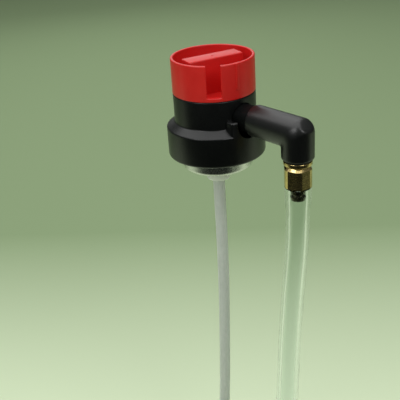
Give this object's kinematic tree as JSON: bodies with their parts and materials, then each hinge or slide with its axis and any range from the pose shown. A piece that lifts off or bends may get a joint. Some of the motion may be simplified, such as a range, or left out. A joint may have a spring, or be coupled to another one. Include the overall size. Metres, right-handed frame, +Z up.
{
  "type": "tire inflator valve",
  "caption": "Aerosol tire inflator valve: crimped cup, black collar, red twist knob and side elbow feeding a clear hose with a screw-on tire chuck.",
  "frame": {"origin": "on the valve's axis, in the plane of the can's opening, at the middle of the cup's skirt", "axes": "+Z up out of the can along the stem, +X along the outlet arm"},
  "size_m": [0.0614, 0.0346, 0.2017],
  "materials": {
    "black_plastic": "satin moulded",
    "elbow_plastic": "smooth moulded",
    "red_plastic": "satin moulded",
    "white_plastic": "natural moulded",
    "frosted_tube": "frosted",
    "clear_hose": "clear",
    "black_rubber": "moulded",
    "fitting_brass": "turned",
    "cup_metal": "drawn tinplate",
    "spring_steel": "drawn wire"
  },
  "bodies": {
    "can_valve": {"collar_body": "black_plastic", "mounting_cup": "cup_metal", "cup_gasket": "black_rubber", "stem_gasket": "black_rubber", "valve_housing": "white_plastic", "valve_spring": "spring_steel", "dip_tube": "frosted_tube"},
    "knob": {"twist_knob": "red_plastic"},
    "outlet": {"nozzle_hub": "black_plastic", "valve_stem": "white_plastic", "outlet_elbow": "elbow_plastic", "spigot_seal": "black_rubber", "fitting_seal": "black_rubber", "hose_fitting": "fitting_brass", "hose": "clear_hose", "chuck_tail": "fitting_brass", "core_pin": "fitting_brass", "chuck_seal": "black_rubber"},
    "chuck_nut": {"chuck_nut": "fitting_brass"}
  },
  "joints": [
    {"name": "knob_turn", "type": "hinge", "parent": "can_valve", "child": "knob", "pos_m": [0, 0, 0.0279], "axis": [0, 0, 1], "range_deg": [0, 90]},
    {"name": "outlet_press", "type": "slide", "parent": "can_valve", "child": "outlet", "axis": [0, 0, -1], "range_m": [0, 0.002], "deforming": ["valve_spring"]},
    {"name": "chuck_nut_spin", "type": "hinge", "parent": "outlet", "child": "chuck_nut", "pos_m": [0.0367, -0.0069, -0.1465], "axis": [0, 0, -1], "continuous": true}
  ],
  "couplings": [
    {"joint": "knob_turn", "follows": "outlet_press", "rad_per_m": 785.4}
  ]
}
